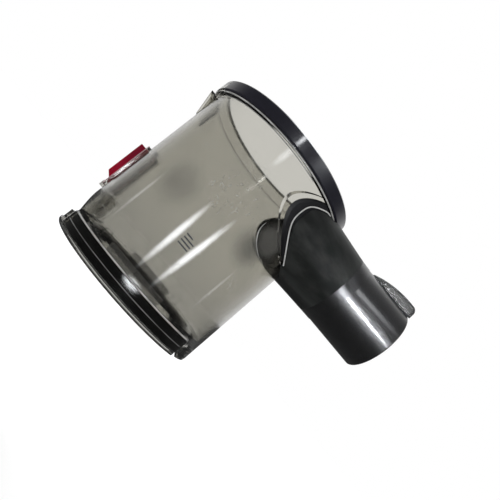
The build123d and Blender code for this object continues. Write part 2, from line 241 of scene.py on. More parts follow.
def clear_plastic():
    """Faintly smoky clear moulding, darker towards its foot, with a thin film of dust, a smudge and a veil,
    specks, hair scratches, rubbed strokes and a slight moulded ripple. Painted shade darkens the pad round
    the inlet almost to black, and a painted shadow darkens the wall beside the inlet."""
    f = Finish("clear_plastic")
    x = f.axis(0)
    z = f.axis(2)
    film = f.patches(38.0, 5.0, 0.42, 0.78)
    specks = 1.0 - f.cells(900.0).step(0.06, 0.12)
    worn = f.patches(45.0, 3.0, 0.55, 0.75)
    fine = f.scratches((60.0, 60.0, 420.0), (0.3, 0.2, 0.0), 0.02, worn)
    long = f.scratches((260.0, 260.0, 30.0), (0.0, 0.4, 0.3), 0.015, worn)
    marks = (fine + long).step(0.0, 1.0)
    rubbed = f.patches(230.0, 2.0, 0.54, 0.60) * f.spot(*STROKES)
    strokes = f.scratches((300.0, 300.0, 170.0), (0.5, 0.3, 0.2), 0.045, rubbed)
    foot = 1.0 - z.step(*FOOT_HEIGHTS)
    clean = 0.25 + 0.75 * z.step(*CLEAN_HEIGHTS)
    lid_edge = (1.0 - z.step(*LID_EDGE_HEIGHTS)) * f.outside(*LID_EDGE_RADII)
    hinge = (1.0 - z.step(*HINGE_HEIGHTS)) * x.step(*HINGE_SIDE)
    smudge = f.spot(*SMUDGE) * (0.6 + 0.5 * f.noise(140.0, 3.0))
    # Painted shade: the clear pad round the inlet is darkened almost to black
    pad = f.outside(*PAD_RADII) * x.step(*PAD_SIDE) * z.step(*PAD_FOOT) * (1.0 - z.step(*PAD_TOP))
    tint = coats(film.mix(rgb(0.579, 0.567, 0.520), rgb(0.551, 0.541, 0.499)),
                 (0.40 * foot, rgb(0.420, 0.418, 0.402)),
                 (0.70 * lid_edge, rgb(0.080, 0.085, 0.080)),
                 (0.80 * hinge, rgb(0.900, 0.900, 0.880)),
                 (0.62 * smudge, rgb(0.240, 0.240, 0.230)),
                 # Painted shadow beside the inlet, darkening the clear tint
                 (0.80 * f.spot(*PAINTED_SHADOW_BY_INLET), rgb(0.170, 0.172, 0.165)),
                 # Painted shade on the pad round the inlet
                 (0.85 * pad, rgb(0.090, 0.090, 0.095)))
    normal = f.bump(f.noise(70.0, 1.0) + 0.05 * marks, 0.06, 0.0004)
    clear = f.principled(Base_Color=tint, Roughness=0.060 + 0.04 * film, Transmission_Weight=1.0,
                         IOR=1.45, Normal=normal)
    dust = f.principled(Base_Color=specks.mix(rgb(0.62, 0.61, 0.57), rgb(0.30, 0.27, 0.22)),
                        Roughness=0.75, Specular_IOR_Level=0.1, Normal=normal)
    spread = (0.003 + 0.008 * film + 0.05 * specks + 0.35 * marks) * clean
    return f.layered(clear, dust, spread + 0.70 * strokes + 0.11 * f.spot(*VEIL))


def ring_plastic(name, dark, light, skin_rough, coat):
    """Navy-black moulding with a fine skin and rubbed spots, under a clear gloss."""
    f = Finish(name)
    rub = f.patches(90.0, 5.0, 0.52, 0.80)
    return f.done(Base_Color=(0.5 * rub).mix(dark, light), Roughness=skin_rough + 0.16 * rub,
                  Specular_IOR_Level=0.4, Coat_Weight=coat, Coat_Roughness=0.10,
                  Normal=f.grain(2600.0, 2.0, 0.10, 0.00006))


# Seals: radii of the inner face. For each seal, heights where its lips start and are whole, and their grey
SEAL_INNER = (0.0472, 0.0480)
MOUTH_LIPS = (0.1100, 0.1110, 0.09)
BASE_LIPS = (0.0110, 0.0122, 0.32)


def seal_rubber(name, lip_low, lip_high, lip_grey):
    """Black rubber with a dull bloom and dust caught on it, most on its inner face. Above a height it
    thins to smoky lips."""
    f = Finish(name)
    inner = 1.0 - f.outside(*SEAL_INNER)
    bloom = f.patches(55.0, 4.0, 0.45, 0.80)
    dust = 1.0 - f.cells(1300.0).step(0.05, 0.15)
    lip = f.axis(2).step(lip_low, lip_high)
    colour = coats((0.5 * bloom).mix(rgb(0.0035, 0.0035, 0.0045), rgb(0.010, 0.010, 0.012)),
                   (0.15 * dust, rgb(0.08, 0.076, 0.070)),
                   (0.80 * inner, rgb(0.100, 0.098, 0.092)),
                   (lip, rgb(lip_grey, lip_grey, 1.02 * lip_grey)))
    return f.done(Base_Color=colour, Roughness=0.34 + 0.20 * bloom, Specular_IOR_Level=0.25,
                  Alpha=1.0 - lip * (0.50 + 0.15 * bloom), Normal=f.grain(1800.0, 3.0, 0.15, 0.00008))


# Button: where painted light makes its skirt pale, from its face to its skirt, in x, and where painted shade
# darkens its top, up its face, in height
BUTTON_PAINTED_LIGHT_X = (-0.0536, -0.0526)
BUTTON_PAINTED_SHADE_HEIGHTS = (0.038, 0.056)


def red_plastic():
    """Crimson tinted moulding, deeper where it is thick, with fine scuffs. Painted shade darkens it towards
    its top, and painted light makes its skirt inside the pocket paler."""
    f = Finish("red_plastic")
    depth = f.patches(120.0, 3.0, 0.35, 0.75)
    scuffs = f.scratches((500.0, 500.0, 120.0), (0.2, 0.1, 0.4), 0.03, f.patches(45.0, 3.0, 0.55, 0.75))
    # Painted light: the skirt inside the pocket is painted pale pink
    skirt = f.axis(0).step(*BUTTON_PAINTED_LIGHT_X)
    # Painted shade: the button is painted darker towards its top
    top = f.axis(2).step(*BUTTON_PAINTED_SHADE_HEIGHTS)
    colour = coats(depth.mix(rgb(0.38, 0.001, 0.020), rgb(0.48, 0.002, 0.034)),
                   (0.75 * top, rgb(0.20, 0.004, 0.022)),
                   (0.3 * scuffs, rgb(0.60, 0.15, 0.18)),
                   (skirt * (0.55 + 0.45 * depth), rgb(0.95, 0.40, 0.45)))
    return f.done(Base_Color=colour, Roughness=0.32 + 0.25 * scuffs, Specular_IOR_Level=0.10,
                  Normal=f.grain(900.0, 2.0, 0.08, 0.0001))


def metallic_paint(f, over=None):
    """Dark metallic grey paint: small flakes under a clear gloss, on the surface's own or another normal."""
    flakes = f.cells(5200.0).step(0.10, 0.60)
    rub = f.patches(95.0, 5.0, 0.55, 0.80)
    colour = coats(flakes.mix(rgb(0.036, 0.036, 0.037), rgb(0.015, 0.015, 0.016)),
                   (0.4 * rub, rgb(0.044, 0.044, 0.045)))
    return f.principled(Base_Color=colour, Metallic=0.25 + 0.25 * flakes, Roughness=0.34 + 0.12 * rub,
                        Coat_Weight=0.5, Coat_Roughness=0.10, Specular_IOR_Level=0.3,
                        Normal=f.bump(flakes, 0.05, 0.00004, over))


def metallic_grey():
    """The socket's paint."""
    f = Finish("metallic_grey_plastic")
    return f.shown(metallic_paint(f))


# The line on the duct where the socket's paint starts, in x
PAINT_LINE = (0.0758, 0.0760)


def graphite_plastic():
    """Dark graphite moulding of the duct: satin skin, flow bands and handling marks. Its end next to the
    socket has the socket's paint, up to a sharp line, and there it shades as the socket's cylinder does:
    its normal points straight out from the socket's axis."""
    f = Finish("graphite_plastic")
    flow = f.noise(1.0, 4.0, f.stretched((14.0, 90.0, 90.0))).step(0.35, 0.70)
    rub = f.patches(110.0, 5.0, 0.55, 0.80)
    colour = coats(flow.mix(rgb(0.010, 0.0115, 0.0108), rgb(0.036, 0.0385, 0.0365)),
                   (0.4 * rub, rgb(0.036, 0.036, 0.035)))
    bare = f.principled(Base_Color=colour, Roughness=0.42 + 0.14 * flow + 0.12 * rub,
                        Specular_IOR_Level=0.16, Normal=f.grain(2200.0, 2.0, 0.08, 0.00006))
    out = f.root.node("ShaderNodeCombineXYZ", {"Y": f.axis(1), "Z": f.axis(2) - SOCKET_Z})
    straight = f.root.node("ShaderNodeVectorMath", {0: out}, operation="NORMALIZE")
    return f.layered(bare, metallic_paint(f, straight), f.axis(0).step(*PAINT_LINE))


def cover_plastic(name, light, dark):
    """Grey sparked moulding of the connector cover, its side panels and the contact block."""
    f = Finish(name)
    wear = f.patches(160.0, 5.0, 0.45, 0.75)
    return f.done(Base_Color=wear.mix(dark, light), Roughness=0.48 + 0.20 * wear,
                  Normal=f.grain(1400.0, 4.0, 0.35, 0.00012))


def pale_rubber():
    """Pale soft gasket, slightly grey with dust."""
    f = Finish("pale_rubber")
    dust = f.patches(300.0, 4.0, 0.35, 0.75)
    return f.done(Base_Color=dust.mix(rgb(0.80, 0.80, 0.78), rgb(0.58, 0.58, 0.56)),
                  Roughness=0.45 + 0.2 * dust, Normal=f.grain(1600.0, 2.0, 0.1, 0.00008))


def drawn_metal(name, bright, dull, stretch):
    """Metal with drawing lines along one axis."""
    f = Finish(name)
    lines = f.noise(1.0, 4.0, f.stretched(stretch))
    stain = f.patches(400.0, 4.0, 0.50, 0.80)
    return f.done(Base_Color=stain.mix(bright, dull), Metallic=1.0,
                  Roughness=0.22 + 0.20 * lines + 0.15 * stain, Normal=f.bump(lines, 0.10, 0.00005))


def painted_highlight_edge(name, light, dark):
    """Moulded line of the clear plastic, whose pale colour is a painted highlight of its edge, greyer where
    dust sits in it.
    """
    f = Finish(name)
    dust = f.patches(180.0, 5.0, 0.35, 0.70)
    return f.done(Base_Color=dust.mix(light, dark), Roughness=0.22 + 0.25 * dust, Coat_Weight=0.4,
                  Coat_Roughness=0.1, Normal=f.grain(1500.0, 3.0, 0.15, 0.00006))


def mark_ink():
    """Dark screen print, a little worn."""
    f = Finish("mark_ink")
    worn = f.patches(700.0, 5.0, 0.58, 0.72)
    return f.done(Base_Color=worn.mix(rgb(0.085, 0.088, 0.100), rgb(0.24, 0.24, 0.24)),
                  Roughness=0.55 + 0.25 * worn, Specular_IOR_Level=0.1,
                  Normal=f.grain(2000.0, 2.0, 0.1, 0.00003))


SHARP_ANGLE = math.radians(40.0)
BEAD_POINTS = 10


def skin(name, rings, finish, first_cap=True, last_cap=True, loop=False):
    """Skin over a stack of closed outlines: quads join each outline to the next one, point by point. The
    stack closes on itself, or one face may cap the first outline and one the last. rings is an array of
    (outline, point, xyz)."""
    count, around = rings.shape[:2]
    row = np.arange(count if loop else count - 1)[:, None]
    here = np.arange(around)[None, :]
    ahead = (here + 1) % around
    low = row * around
    high = (row + 1) % count * around
    faces = np.stack([low + here, low + ahead, high + ahead, high + here], axis=-1).reshape(-1, 4).tolist()
    if first_cap and not loop:
        faces.append(np.arange(around)[::-1].tolist())
    if last_cap and not loop:
        faces.append(np.arange((count - 1) * around, count * around).tolist())
    mesh = bpy.data.meshes.new(name)
    mesh.from_pydata(rings.reshape(-1, 3).tolist(), [], faces)
    mesh.materials.append(finish)
    mesh.validate()
    mesh.shade_smooth()
    mesh.set_sharp_from_angle(angle=SHARP_ANGLE)
    made = bpy.data.objects.new(name, mesh)
    bpy.context.scene.collection.objects.link(made)
    return made


def bin_piece(name, rings, finish, loop=False):
    """A closed skin over a stack of outlines, as a piece that rides on the bin."""
    piece = skin(name, rings, finish, loop=loop)
    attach(piece, "bin")
    return piece


def bead(name, path, out, across, radius, finish, loop=False):
    """A circle carried along a path: at an angle t its point is the path's point plus the radius times
    (cos t times one direction plus sin t times the other)."""
    turn = np.linspace(0.0, WHOLE_TURN, BEAD_POINTS, endpoint=False)[None, :, None]
    circle = np.cos(turn) * out[:, None, :] + np.sin(turn) * across[:, None, :]
    return bin_piece(name, path[:, None, :] + radius * circle, finish, loop)


def heading(path):
    """Direction of a path at each point, of length 1: the difference of the point's neighbours."""
    ahead = np.gradient(path, axis=0)
    return ahead / np.linalg.norm(ahead, axis=1, keepdims=True)


def outward(azimuth):
    """Direction away from the bin's axis at an azimuth a: (cos a, sin a, 0)."""
    return np.stack([np.cos(azimuth), np.sin(azimuth), np.zeros_like(azimuth)], axis=-1)


# Fill mark on the wall: plain bars one above the other. A bar's outline, in and out of the wall, and up it
MARK_AZIMUTH = math.radians(-85.0)
MARK_Z = 0.0395
MARK_PITCH = 0.0019
MARK_BAR = 0.0007
MARK_LENGTHS = (0.0066, 0.0066, 0.0066, 0.0040)
MARK_THICK = 0.00004
MARK_POINTS = 13
MARK_OUT = np.array([-1.0, -1.0, 1.0, 1.0])
MARK_UP = np.array([0.0, 1.0, 1.0, 0.0])


def fill_mark(finish):
    """Bars of ink on the wall. A bar is a flat rectangle carried along an arc of the wall: a point at
    arc length s and height z is (r cos(a0 + s / r), r sin(a0 + s / r), z)."""
    radius = WALL_RADIUS + MARK_THICK * MARK_OUT
    for number, length in enumerate(MARK_LENGTHS):
        arc = MARK_AZIMUTH + (np.linspace(0.0, length, MARK_POINTS) - MARK_LENGTHS[0] / 2) / WALL_RADIUS
        x = np.cos(arc)[:, None] * radius
        y = np.sin(arc)[:, None] * radius
        z = np.broadcast_to(MARK_Z + number * MARK_PITCH + MARK_BAR * MARK_UP, x.shape)
        bin_piece("fill_mark_%d" % (number + 1), np.stack([x, y, z], axis=-1), finish)


# Side panels of the connector cover, whose crown is an arc, a flat and a sloping nose
CROWN_FLAT = 0.006
NOSE_LENGTH = 0.0040
NOSE_SLOPE = 0.4
PANEL_START = 0.0080
PANEL_END = 0.0024
PANEL_MARGIN = 0.0009
PANEL_UNDER = 0.0016
PANEL_LEAST = 0.0002
PANEL_PROUD = 0.00018
PANEL_BEVEL = 0.00025
PANEL_DEPTHS = np.array([[-PANEL_PROUD], [0.5 * PANEL_PROUD], [PANEL_PROUD]])
PANEL_INSETS = np.array([[0.0], [0.0], [PANEL_BEVEL]])
PANEL_POINTS = 40


def cover_panel(name, side, finish):
    """Raised panel on one side of the cover. Its outline runs along the socket's top and back under the
    cover's crown, an arc tangent to the flat top; three outlines in depth give it a bevelled edge."""
    x = np.linspace(COVER_LOW.x + PANEL_START, COVER_HIGH.x - PANEL_END, PANEL_POINTS)
    half = COVER_HIGH.y
    sole = SOCKET_Z + math.sqrt(SOCKET_RADIUS**2 - half**2) + PANEL_MARGIN
    flat = COVER_HIGH.x - CROWN_FLAT
    run = flat - COVER_LOW.x
    rise = COVER_HIGH.z - (SOCKET_Z + SOCKET_RADIUS)
    radius = (run**2 + rise**2) / (2 * rise)
    away = np.clip(flat - x, 0.0, None)
    nose = np.clip(x - (COVER_HIGH.x - NOSE_LENGTH), 0.0, None)
    crown = COVER_HIGH.z - (radius - np.sqrt(radius**2 - away**2)) - NOSE_SLOPE * nose - PANEL_UNDER
    outline_x = np.concatenate([x, x[::-1]])
    outline_z = np.concatenate([np.full_like(x, sole), np.maximum(crown, sole + PANEL_LEAST)[::-1]])
    pulled_x = outline_x - np.sign(outline_x - outline_x.mean()) * PANEL_INSETS
    pulled_z = outline_z - np.sign(outline_z - outline_z.mean()) * PANEL_INSETS
    y = np.broadcast_to(side * (half + PANEL_DEPTHS), pulled_x.shape)
    rings = np.stack([pulled_x, y, pulled_z], axis=-1)
    bin_piece(name, rings[:, ::-1] if side > 0 else rings, finish)


# Edge of the duct on the collar: the duct is straight lines from the socket's circle to a rounded outline
SOCKET_START = 0.0840
DUCT_CIRCLE = SOCKET_RADIUS + 0.00025
FLARE_X = 0.0160
FLARE_HALF = 0.0500
FLARE_LOW = SOCKET_Z - 0.0246
FLARE_HIGH = SOCKET_Z + 0.0191
FLARE_LOW_RADIUS = 0.0225
FLARE_HIGH_RADIUS = 0.0135
FLARE_LOW_TURN = 58.0
FLARE_SIDE_TURN = 8.0
FLARE_HIGH_TURN = 60.0
COLLAR_FACE = 0.0536
EDGE_RADIUS = 0.00038
EDGE_OUT = 0.00065
EDGE_TOP = 0.1108
EDGE_END_Y = 0.0280
EDGE_STEP = 0.0003
EDGE_EASE = 41
EDGE_POINTS = 200


def edge_path(side):
    """Path of the duct's side edge. A corner of the flare, turned through t, is joined by a straight line
    to the socket's circle at the matching angle, and the path is where these lines meet the collar's
    cylinder. Above the bead's top it runs level, under the flange of the wall."""
    step = np.linspace(0.0, 1.0, EDGE_POINTS)
    quarter = np.radians(90.0 * step)
    low = FLARE_LOW_RADIUS + EDGE_OUT
    high = FLARE_HIGH_RADIUS + EDGE_OUT
    low_y = FLARE_HALF - FLARE_LOW_RADIUS + low * np.sin(quarter)
    low_z = FLARE_LOW + FLARE_LOW_RADIUS - low * np.cos(quarter)
    high_y = FLARE_HALF - FLARE_HIGH_RADIUS + high * np.cos(quarter)
    high_z = FLARE_HIGH - FLARE_HIGH_RADIUS + high * np.sin(quarter)
    turn = np.radians(np.concatenate([FLARE_LOW_TURN * (step - 1.0),
                                      FLARE_SIDE_TURN + (FLARE_HIGH_TURN - FLARE_SIDE_TURN) * step]))
    y = np.concatenate([low_y, high_y])
    z = np.concatenate([low_z, high_z])
    to_x = SOCKET_START - FLARE_X
    to_y = (DUCT_CIRCLE + EDGE_OUT) * np.cos(turn) - y
    to_z = SOCKET_Z + (DUCT_CIRCLE + EDGE_OUT) * np.sin(turn) - z
    radius = COLLAR_FACE + EDGE_RADIUS
    square = to_x**2 + to_y**2
    half = FLARE_X * to_x + y * to_y
    share = (np.sqrt(half**2 - square * (FLARE_X**2 + y**2 - radius**2)) - half) / square
    path = np.stack([FLARE_X + share * to_x, side * (y + share * to_y), z + share * to_z], axis=-1)
    path[:, 2] = np.minimum(path[:, 2], EDGE_TOP)
    return eased(path[np.abs(path[:, 1]) > EDGE_END_Y], radius)


def eased(path, radius):
    """The path at even steps, each point then the weighted mean of its neighbours (a raised cosine of
    weights, with the end points repeated), and put back on the cylinder of the radius."""
    run = np.concatenate([[0.0], np.cumsum(np.linalg.norm(np.diff(path, axis=0), axis=1))])
    even = np.linspace(0.0, run[-1], int(run[-1] / EDGE_STEP))
    weight = np.hanning(EDGE_EASE + 2)[1:-1]
    weight /= weight.sum()
    steps = [np.pad(np.interp(even, run, line), EDGE_EASE // 2, mode="edge") for line in path.T]
    smooth = np.stack([np.convolve(line, weight, "valid") for line in steps], axis=-1)
    smooth[:, :2] *= radius / np.linalg.norm(smooth[:, :2], axis=1, keepdims=True)
    return smooth


def edge_bead(name, side, finish):
    """Pale bead in the corner between the duct's edge and the collar: a circle carried along the edge
    path, in the plane of the cylinder's outward direction and its cross product with the path's
    direction."""
    path = edge_path(side)
    ahead = heading(path)
    out = path * np.array([1.0, 1.0, 0.0])
    out -= ahead * (out * ahead).sum(axis=1, keepdims=True)
    out /= np.linalg.norm(out, axis=1, keepdims=True)
    bead(name, path, out, np.cross(ahead, out), EDGE_RADIUS, finish)


# Finishes of the moulded lines, whose pale colours are painted highlights of the clear edges: their light
# and their dusty colour
EDGE_HIGHLIGHT_COLOURS = {
    "painted_highlight_edge": (rgb(0.34, 0.34, 0.34), rgb(0.13, 0.13, 0.125)),
    "pale_edge": (rgb(0.66, 0.66, 0.64), rgb(0.36, 0.36, 0.35)),
    "pocket_edge": (rgb(0.85, 0.66, 0.68), rgb(0.62, 0.36, 0.39)),
}

# Moulded lines round the bin, their pale finish a painted highlight: azimuth from and to, radius of the wall
# there, height, size of bead, finish
WALL_LINES = {
    "bell_line_left_1": (-39.0, -144.0, 0.0535, 0.0066, 0.00018, "painted_highlight_edge"),
    "bell_line_left_2": (-39.0, -144.0, 0.0530, 0.0115, 0.00044, "pale_edge"),
    "bell_line_right_1": (39.0, 144.0, 0.0535, 0.0066, 0.00018, "painted_highlight_edge"),
    "bell_line_right_2": (39.0, 144.0, 0.0530, 0.0115, 0.00044, "pale_edge"),
    "flange_line_1": (25.0, -150.0, 0.0543, 0.1120, 0.00042, "pale_edge"),
    "flange_line_2": (-66.0, -150.0, 0.0521, 0.1112, 0.00022, "pale_edge"),
}
WALL_LINE_POINTS = 200


def wall_line(name, start, end, radius, height, size, finish):
    """Moulded line on the wall: a circle carried along a level arc. A point at azimuth a is
    (r cos a, r sin a, z), and its circle lies in the plane of the outward direction and the axis."""
    out = outward(np.radians(np.linspace(start, end, WALL_LINE_POINTS)))
    path = radius * out + np.array([0.0, 0.0, height])
    across = np.broadcast_to([0.0, 0.0, math.copysign(1.0, start - end)], path.shape)
    bead(name, path, out, across, size, finish)


# Moulded line on the wall beside the inlet: an arc of an ellipse, in arc length round the wall and height
INLET_LINE_MIDDLE = (-0.0430, 0.0775)
INLET_LINE_REACH = (0.0165, 0.0113)
INLET_LINE_TURN = (170.0, 258.0)
INLET_LINE_BEAD = 0.00032
INLET_LINE_BLUNT = 0.02
INLET_LINE_POINTS = 80


def inlet_line(finish):
    """Moulded line on the wall beside the inlet: a circle carried along an arc of an ellipse that is
    wrapped round the wall. A point at an angle t has the arc length s0 + a cos t and the height
    z0 + b sin t. The circle shrinks almost to nothing at both ends, as the sine of its share of the
    way."""
    share = np.linspace(0.0, 1.0, INLET_LINE_POINTS)
    angle = np.radians(INLET_LINE_TURN[0] + (INLET_LINE_TURN[1] - INLET_LINE_TURN[0]) * share)
    out = outward((INLET_LINE_MIDDLE[0] + INLET_LINE_REACH[0] * np.cos(angle)) / WALL_RADIUS)
    path = WALL_RADIUS * out
    path[:, 2] = INLET_LINE_MIDDLE[1] + INLET_LINE_REACH[1] * np.sin(angle)
    inset = INLET_LINE_BLUNT + (1.0 - 2 * INLET_LINE_BLUNT) * share
    size = INLET_LINE_BEAD * np.sin(math.pi * inset)[:, None, None]
    bead("inlet_line", path, out, np.cross(heading(path), out), size, finish)


# Rim of the button's pocket
POCKET_FACE = -0.0530
POCKET_HALF = 0.0099
POCKET_LOW = 0.0301
POCKET_HIGH = 0.0629
POCKET_CORNER = 0.0005
POCKET_BEAD = 0.00030
POCKET_POINTS = 48


def pocket_line(finish):
    """Moulded line round the pocket's rim: a circle carried along a rectangle with rounded corners, whose
    point at an angle t is the corner's middle plus r cos t and r sin t, in the plane of the rim's face."""
    turn = np.linspace(0.0, WHOLE_TURN, POCKET_POINTS, endpoint=False) + math.pi / POCKET_POINTS
    out = np.stack([np.zeros_like(turn), np.cos(turn), np.sin(turn)], axis=-1)
    middle = (POCKET_LOW + POCKET_HIGH) / 2
    side = np.sign(out[:, 1]) * (POCKET_HALF - POCKET_CORNER)
    end = middle + np.sign(out[:, 2]) * ((POCKET_HIGH - POCKET_LOW) / 2 - POCKET_CORNER)
    path = POCKET_CORNER * out + np.stack([np.full_like(turn, POCKET_FACE), side, end], axis=-1)
    across = np.broadcast_to([-1.0, 0.0, 0.0], path.shape)
    bead("pocket_line", path, out, across, POCKET_BEAD, finish, loop=True)


# Coil spring behind the button
SPRING_START = -0.0490
SPRING_LENGTH = 0.0066
SPRING_TURNS = 4.5
SPRING_RADIUS = 0.0026
SPRING_WIRE = 0.00035
SPRING_CLOSER = 0.10
SPRING_Z = 0.0465
SPRING_POINTS = 240


def spring_coil(finish):
    """Coil spring: a circle carried along a helix about the X axis, with its end turns closer together."""
    share = np.linspace(0.0, 1.0, SPRING_POINTS)
    angle = WHOLE_TURN * SPRING_TURNS * share
    along = share - SPRING_CLOSER * np.sin(WHOLE_TURN * share)
    path = np.stack([SPRING_START - SPRING_LENGTH * along, SPRING_RADIUS * np.cos(angle),
                     SPRING_Z + SPRING_RADIUS * np.sin(angle)], axis=-1)
    out = np.stack([np.zeros_like(angle), np.cos(angle), np.sin(angle)], axis=-1)
    coil = bead("spring_coil", path, out, np.cross(heading(path), out), SPRING_WIRE, finish)
    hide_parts("button_spring")
    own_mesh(coil)


# Mouldings in two dark colours, dark and light, with the roughness of the skin and the weight of the gloss
RING_LOOK = (rgb(0.016, 0.0155, 0.026), rgb(0.040, 0.039, 0.058), 0.34, 0.40)
COLLAR_LOOK = (rgb(0.008, 0.008, 0.011), rgb(0.020, 0.020, 0.025), 0.48, 0.0)

# Sparked mouldings, where they are worn and where they are not
COVER_GREYS = (rgb(0.050, 0.050, 0.050), rgb(0.030, 0.030, 0.030))
BLOCK_GREYS = (rgb(0.030, 0.030, 0.030), rgb(0.014, 0.014, 0.014))
PANEL_GREYS = (rgb(0.20, 0.20, 0.195), rgb(0.12, 0.12, 0.118))

# Metals, bright and dull, with the scale of their drawing lines on each axis
STEEL_LOOK = (rgb(0.62, 0.62, 0.63), rgb(0.35, 0.33, 0.31), (200.0, 2600.0, 200.0))
CONTACT_LOOK = (rgb(0.72, 0.58, 0.30), rgb(0.45, 0.33, 0.16), (2400.0, 300.0, 300.0))


def dress_nodes():
    """Gives every CAD node its finish."""
    clear = clear_plastic()
    steel = drawn_metal("steel", *STEEL_LOOK)
    finishes = {
        "bin_shell": clear,
        "base_lid": clear,
        "mouth_ring": ring_plastic("navy_black_plastic", *RING_LOOK),
        "mouth_seal": seal_rubber("mouth_rubber", *MOUTH_LIPS),
        "base_seal": seal_rubber("black_rubber", *BASE_LIPS),
        "release_button": red_plastic(),
        "hinge_pin": steel,
        "button_spring": steel,
        "cover_screws": steel,
        "inlet_duct": graphite_plastic(),
        "inlet_collar": ring_plastic("collar_plastic", *COLLAR_LOOK),
        "inlet_gasket": pale_rubber(),
        "inlet_socket": metallic_grey(),
        "connector_cover": cover_plastic("grey_plastic", *COVER_GREYS),
        "contact_block": cover_plastic("black_plastic", *BLOCK_GREYS),
        "contact_pins": drawn_metal("contact_metal", *CONTACT_LOOK),
    }
    for name, finish in finishes.items():
        NODES[name].data.materials.clear()
        NODES[name].data.materials.append(finish)
    return finishes


def sight(root):
    """Two shares of a ray: 1 if it comes from the camera, straight or through clear plastic alone, and 1
    if gloss has turned it."""
    seen = root.node("ShaderNodeLightPath", out="Is Camera Ray")
    through = root.node("ShaderNodeLightPath", out="Is Transmission Ray")
    turned = root.node("ShaderNodeLightPath", out="Glossy Depth").step(0.0, 1.0)
    return seen + through * (1.0 - turned), turned


# Floor: its height, below the opened lid, its rings, its colours and how much it shines
FLOOR_DROP = -0.106
FLOOR_RINGS = np.array([6.0, 1.0, 0.2, 0.0005])
FLOOR_POINTS = 64
FLOOR_WHITE = rgb(0.80, 0.80, 0.80)
FLOOR_IN_GLOSS = rgb(0.12, 0.12, 0.12)
FLOOR_SHINE = rgb(0.55, 0.55, 0.55)
FLOOR_DARK = rgb(0.0, 0.0, 0.0)
FLOOR_GLOSS = 0.06


def floor():
    """Wide white floor, low enough for the opened lid: a disc of rings about the bin's axis, where a point
    at radius r and angle t is (r cos t, r sin t, height). It shines for the rays that look at it and for
    those that see it in gloss or through the clear wall, and it keeps the shadow."""
    f = Finish("floor_white")
    direct, turned = sight(f.root)
    looked_at = (direct + FLOOR_GLOSS * turned).step(0.0, 1.0)
    f.done(Base_Color=turned.mix(FLOOR_WHITE, FLOOR_IN_GLOSS), Roughness=0.9, Specular_IOR_Level=0.0,
           Emission_Color=looked_at.mix(FLOOR_DARK, FLOOR_SHINE), Emission_Strength=1.0)
    out = outward(np.linspace(0.0, WHOLE_TURN, FLOOR_POINTS, endpoint=False))
    rings = FLOOR_RINGS[:, None, None] * out + np.array([0.0, 0.0, FLOOR_DROP])
    skin("floor", rings, f.material, first_cap=False)


# Room: its plain light, and how bright gloss shows it in front, behind and overhead, and where these fade
ROOM_LIGHT = 0.62
ROOM_FRONT = 0.05
ROOM_BACK = 0.75
ROOM_BACK_FADE = (0.0, 0.8)
ROOM_OVERHEAD = 0.35
ROOM_OVERHEAD_FADE = (0.3, 0.95)


def room():
    """White to the camera and through the clear wall. Gloss shows it white behind the object and overhead,
    and dim on the camera's side."""
    world = bpy.data.worlds.new("room")
    bpy.context.scene.world = world
    world.use_nodes = True
    world.node_tree.nodes.clear()
    root = Shade(world.node_tree)
    direct, turned = sight(root)
    way = root.node("ShaderNodeTexCoord", out="Generated")
    back = root.node("ShaderNodeSeparateXYZ", {"Vector": way}, out="Y").step(*ROOM_BACK_FADE)
    up = root.node("ShaderNodeSeparateXYZ", {"Vector": way}, out="Z").step(*ROOM_OVERHEAD_FADE)
    gloss = ROOM_FRONT + ROOM_BACK * back + ROOM_OVERHEAD * up
    white = direct.step(0.0, 1.0)
    strength = white + (1.0 - white) * (ROOM_LIGHT * (1.0 - turned) + gloss * turned)
    shine = root.node("ShaderNodeBackground", {"Color": rgb(1.0, 1.0, 1.0), "Strength": strength})
    root.node("ShaderNodeOutputWorld", {"Surface": shine})


# Lamps: their colour, the middle of a lamp's face, and how far from it the lamp starts to fade and ends
LAMP_COLOUR = rgb(0.95, 0.975, 1.0)
LAMP_MIDDLE = (0.5, 0.5, 0.0)
LAMP_CORE = 0.05
LAMP_RIM = 0.50

# Directions of a lamp's long side, points that lamps face, and the widest spread
LEVEL = (1.0, 0.0, 0.0)
UPRIGHT = (0.0, 0.0, 1.0)
BIN_MIDDLE = (0.0, 0.0, 0.06)
SOCKET_SIDE = (0.105, -0.023, 0.092)
POCKET_EDGE = (-0.0522, -0.0099, 0.046)
WIDE = 180.0

